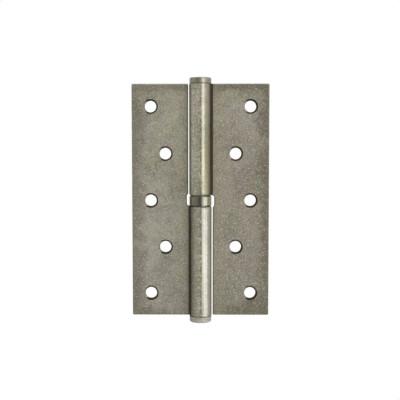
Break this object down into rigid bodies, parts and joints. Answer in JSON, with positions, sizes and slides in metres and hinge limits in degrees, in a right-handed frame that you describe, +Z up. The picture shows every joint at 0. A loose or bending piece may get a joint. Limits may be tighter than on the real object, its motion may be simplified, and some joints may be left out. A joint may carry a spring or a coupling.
{
  "type": "lift-off hinge",
  "caption": "Steel lift-off door hinge: two flat leaves with rolled knuckles on a fixed pin, staggered countersunk screw holes, a polished ball bearing between the knuckles and plug end caps.",
  "frame": {"origin": "on the pin's axis, halfway up the hinge", "axes": "+Z up along the pin, the way the door leaf lifts off; +X towards the door leaf with the hinge open flat; +Y towards the back of the leaves, which lies on the door and its frame"},
  "size_m": [0.0738, 0.012, 0.1308],
  "materials": {
    "aged_nickel": "mottled antique nickel plate on steel, dull, with darker patina",
    "polished_nickel": "polished, slightly warm",
    "ground_steel": "ground and lightly oiled"
  },
  "bodies": {
    "frame_side": {"frame_leaf": "aged_nickel", "hinge_pin": "ground_steel", "bottom_cap": "aged_nickel", "bearing_shell": "polished_nickel", "lower_race": "ground_steel"},
    "turning_race": {"upper_race": "ground_steel"},
    "ball_ring": {"bearing_balls": "ground_steel"},
    "door_side": {"door_leaf": "aged_nickel", "top_cap": "aged_nickel"}
  },
  "joints": [
    {"name": "swing", "type": "hinge", "parent": "frame_side", "child": "turning_race", "pos_m": [0, 0, 0], "axis": [0, 0, 1], "range_deg": [-180, 115]},
    {"name": "ball_orbit", "type": "hinge", "parent": "frame_side", "child": "ball_ring", "pos_m": [0, 0, 0], "axis": [0, 0, 1], "range_deg": [-90.5, 58]},
    {"name": "lift", "type": "slide", "parent": "turning_race", "child": "door_side", "axis": [0, 0, 1], "range_m": [0, 0.05]}
  ],
  "couplings": [
    {"joint": "ball_orbit", "follows": "swing", "ratio": 0.5}
  ]
}
